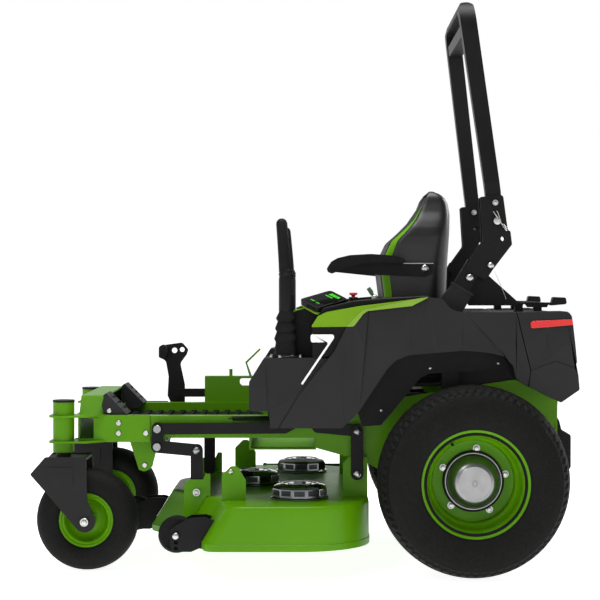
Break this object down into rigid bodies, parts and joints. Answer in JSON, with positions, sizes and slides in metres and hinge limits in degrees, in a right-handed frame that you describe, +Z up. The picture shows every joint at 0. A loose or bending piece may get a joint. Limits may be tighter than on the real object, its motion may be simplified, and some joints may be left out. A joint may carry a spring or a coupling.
{
  "type": "zero turn mower",
  "caption": "Battery zero-turn riding mower with side-discharge deck, twin lap levers, high-back seat, folding roll bar, front casters and large rear drive wheels.",
  "frame": {"origin": "on the ground under the middle of the machine", "axes": "+Z up, the mower faces -X, the driver's right is +Y"},
  "size_m": [1.7507, 1.2745, 1.8665],
  "materials": {
    "body_green": "gloss paint",
    "black_steel": "satin black powder coat",
    "dark_plastic": "fine textured moulded plastic",
    "red_plastic": "clear red lens",
    "tyre_rubber": "moulded rubber",
    "black_rubber": "moulded rubber",
    "zinc": "zinc plated",
    "bright_metal": "turned aluminium",
    "seat_vinyl": "grained vinyl",
    "screen": "glossy",
    "spring_steel": "black oiled"
  },
  "bodies": {
    "mower_frame": {"chassis_frame": "body_green", "front_axle_beam": "body_green", "caster_bearings": "black_steel", "frame_bolts": "zinc", "floor_pan": "black_rubber", "foot_rests": "dark_plastic", "lift_tower": "body_green", "wheel_motors": "black_steel", "rear_bumper": "dark_plastic", "side_panel_left": "dark_plastic", "side_panel_right": "dark_plastic", "rear_corner_panels": "dark_plastic", "tail_lights": "red_plastic", "arch_liners": "dark_plastic", "rear_hood": "dark_plastic", "battery_modules": "dark_plastic", "seat_base": "black_steel", "display_unit": "screen", "rops_lower_posts": "black_steel", "rear_rack": "black_steel", "lift_springs": "spring_steel"},
    "seat_slide": {"seat_slider": "black_steel"},
    "seat": {"seat_cushion": "seat_vinyl", "seat_back": "seat_vinyl"},
    "mower_deck": {"deck_shell": "body_green", "deck_brackets": "body_green", "deck_hangers": "black_steel", "blade_motors": "bright_metal"},
    "discharge_flap": {"discharge_chute": "dark_plastic"},
    "front_lift": {"lift_arms_front": "black_steel", "lift_pedal": "black_steel"},
    "rear_lift": {"lift_arms_rear": "black_steel"},
    "push_bar_pair": {"push_bars": "black_steel"},
    "height_link": {"lift_link": "black_steel"},
    "roll_bar_hoop": {"rops_hoop": "black_steel"},
    "blade_switch": {"pto_knob": "red_plastic"},
    "caster_left": {"caster_fork_left": "black_steel"},
    "caster_wheel_left": {"caster_rim_left": "body_green", "caster_tyre_left": "tyre_rubber"},
    "drive_wheel_left": {"drive_rim_left": "body_green", "drive_tyre_left": "tyre_rubber"},
    "lever_yoke_left": {"lever_pivot_left": "zinc"},
    "lever_left": {"control_lever_left": "black_steel"},
    "arm_left": {"armrest_left": "seat_vinyl"},
    "lock_pin_left": {"rops_lock_pin_left": "zinc"},
    "caster_right": {"caster_fork_right": "black_steel"},
    "caster_wheel_right": {"caster_rim_right": "body_green", "caster_tyre_right": "tyre_rubber"},
    "drive_wheel_right": {"drive_rim_right": "body_green", "drive_tyre_right": "tyre_rubber"},
    "lever_yoke_right": {"lever_pivot_right": "zinc"},
    "lever_right": {"control_lever_right": "black_steel"},
    "arm_right": {"armrest_right": "seat_vinyl"},
    "lock_pin_right": {"rops_lock_pin_right": "zinc"},
    "blade_left_rotor": {"blade_left": "black_steel"},
    "blade_centre_rotor": {"blade_centre": "black_steel"},
    "blade_right_rotor": {"blade_right": "black_steel"},
    "scalp_wheel_left": {"anti_scalp_wheel_left": "black_rubber"},
    "scalp_wheel_centre": {"anti_scalp_wheel_centre": "black_rubber"},
    "scalp_wheel_right": {"anti_scalp_wheel_right": "black_rubber"}
  },
  "joints": [
    {"name": "caster_swivel_left", "type": "hinge", "parent": "mower_frame", "child": "caster_left", "pos_m": [-0.78, -0.346, 0.45], "axis": [0, 0, 1], "continuous": true},
    {"name": "caster_spin_left", "type": "hinge", "parent": "caster_left", "child": "caster_wheel_left", "pos_m": [-0.701, -0.346, 0.165], "axis": [0, 1, 0], "continuous": true},
    {"name": "drive_spin_left", "type": "hinge", "parent": "mower_frame", "child": "drive_wheel_left", "pos_m": [0.538, -0.505, 0.305], "axis": [0, 1, 0], "continuous": true},
    {"name": "lever_stroke_left", "type": "hinge", "parent": "mower_frame", "child": "lever_yoke_left", "pos_m": [-0.055, -0.42, 0.68], "axis": [0, 1, 0], "range_deg": [-14, 7]},
    {"name": "lever_swing_left", "type": "hinge", "parent": "lever_yoke_left", "child": "lever_left", "pos_m": [-0.055, -0.42, 0.71], "axis": [1, 0, 0], "range_deg": [0, 25]},
    {"name": "armrest_fold_left", "type": "hinge", "parent": "seat", "child": "arm_left", "pos_m": [0.402, -0.288, 0.98], "axis": [0, 1, 0], "range_deg": [0, 90]},
    {"name": "lock_pin_pull_left", "type": "slide", "parent": "mower_frame", "child": "lock_pin_left", "axis": [0, -1, 0], "range_m": [0, 0.03]},
    {"name": "caster_swivel_right", "type": "hinge", "parent": "mower_frame", "child": "caster_right", "pos_m": [-0.78, 0.346, 0.45], "axis": [0, 0, 1], "continuous": true},
    {"name": "caster_spin_right", "type": "hinge", "parent": "caster_right", "child": "caster_wheel_right", "pos_m": [-0.701, 0.346, 0.165], "axis": [0, 1, 0], "continuous": true},
    {"name": "drive_spin_right", "type": "hinge", "parent": "mower_frame", "child": "drive_wheel_right", "pos_m": [0.538, 0.505, 0.305], "axis": [0, 1, 0], "continuous": true},
    {"name": "lever_stroke_right", "type": "hinge", "parent": "mower_frame", "child": "lever_yoke_right", "pos_m": [-0.055, 0.42, 0.68], "axis": [0, 1, 0], "range_deg": [-14, 7]},
    {"name": "lever_swing_right", "type": "hinge", "parent": "lever_yoke_right", "child": "lever_right", "pos_m": [-0.055, 0.42, 0.71], "axis": [-1, 0, 0], "range_deg": [0, 25]},
    {"name": "armrest_fold_right", "type": "hinge", "parent": "seat", "child": "arm_right", "pos_m": [0.402, 0.288, 0.98], "axis": [0, 1, 0], "range_deg": [0, 90]},
    {"name": "lock_pin_pull_right", "type": "slide", "parent": "mower_frame", "child": "lock_pin_right", "axis": [0, 1, 0], "range_m": [0, 0.03]},
    {"name": "blade_spin_left", "type": "hinge", "parent": "mower_deck", "child": "blade_left_rotor", "pos_m": [-0.011, -0.395, 0.13], "axis": [0, 0, 1], "continuous": true},
    {"name": "blade_spin_centre", "type": "hinge", "parent": "mower_deck", "child": "blade_centre_rotor", "pos_m": [-0.174, 0, 0.13], "axis": [0, 0, 1], "continuous": true},
    {"name": "blade_spin_right", "type": "hinge", "parent": "mower_deck", "child": "blade_right_rotor", "pos_m": [-0.011, 0.395, 0.13], "axis": [0, 0, 1], "continuous": true},
    {"name": "scalp_spin_left", "type": "hinge", "parent": "mower_deck", "child": "scalp_wheel_left", "pos_m": [-0.399, -0.5, 0.137], "axis": [0, 1, 0], "continuous": true},
    {"name": "scalp_spin_centre", "type": "hinge", "parent": "mower_deck", "child": "scalp_wheel_centre", "pos_m": [-0.576, 0, 0.137], "axis": [0, 1, 0], "continuous": true},
    {"name": "scalp_spin_right", "type": "hinge", "parent": "mower_deck", "child": "scalp_wheel_right", "pos_m": [-0.399, 0.5, 0.137], "axis": [0, 1, 0], "continuous": true},
    {"name": "deck_lift", "type": "hinge", "parent": "mower_frame", "child": "front_lift", "pos_m": [-0.475, 0, 0.399], "axis": [0, 1, 0], "range_deg": [-10, 22]},
    {"name": "deck_level", "type": "hinge", "parent": "front_lift", "child": "mower_deck", "pos_m": [-0.347, 0, 0.387], "axis": [0, 1, 0], "range_deg": [-22.5, 10.5]},
    {"name": "push_bar_pivot", "type": "hinge", "parent": "front_lift", "child": "push_bar_pair", "pos_m": [-0.473, 0, 0.458], "axis": [0, 1, 0], "range_deg": [-22.5, 10.5]},
    {"name": "link_pivot", "type": "hinge", "parent": "front_lift", "child": "height_link", "pos_m": [-0.46, 0.322, 0.532], "axis": [0, 1, 0], "range_deg": [-22.5, 10.5]},
    {"name": "rear_lift_pivot", "type": "hinge", "parent": "mower_frame", "child": "rear_lift", "pos_m": [0.047, 0, 0.462], "axis": [0, 1, 0], "range_deg": [-10.5, 22.5]},
    {"name": "chute_flap", "type": "hinge", "parent": "mower_deck", "child": "discharge_flap", "pos_m": [0, 0.628, 0.236], "axis": [1, 0, 0], "range_deg": [0, 85]},
    {"name": "seat_track", "type": "slide", "parent": "mower_frame", "child": "seat_slide", "axis": [1, 0, 0], "range_m": [-0.075, 0.015]},
    {"name": "seat_tilt", "type": "hinge", "parent": "seat_slide", "child": "seat", "pos_m": [0.12, 0, 0.64], "axis": [0, -1, 0], "range_deg": [0, 50]},
    {"name": "roll_bar_fold", "type": "hinge", "parent": "mower_frame", "child": "roll_bar_hoop", "pos_m": [0.621, 0, 1.191], "axis": [0, 1, 0], "range_deg": [0, 100]},
    {"name": "blade_switch_pull", "type": "slide", "parent": "mower_frame", "child": "blade_switch", "axis": [0, 0, 1], "range_m": [0, 0.008]}
  ],
  "couplings": [
    {"joint": "deck_level", "follows": "deck_lift", "ratio": -1},
    {"joint": "push_bar_pivot", "follows": "deck_lift", "ratio": -1},
    {"joint": "link_pivot", "follows": "deck_lift", "ratio": -1},
    {"joint": "rear_lift_pivot", "follows": "deck_lift", "ratio": 1}
  ]
}
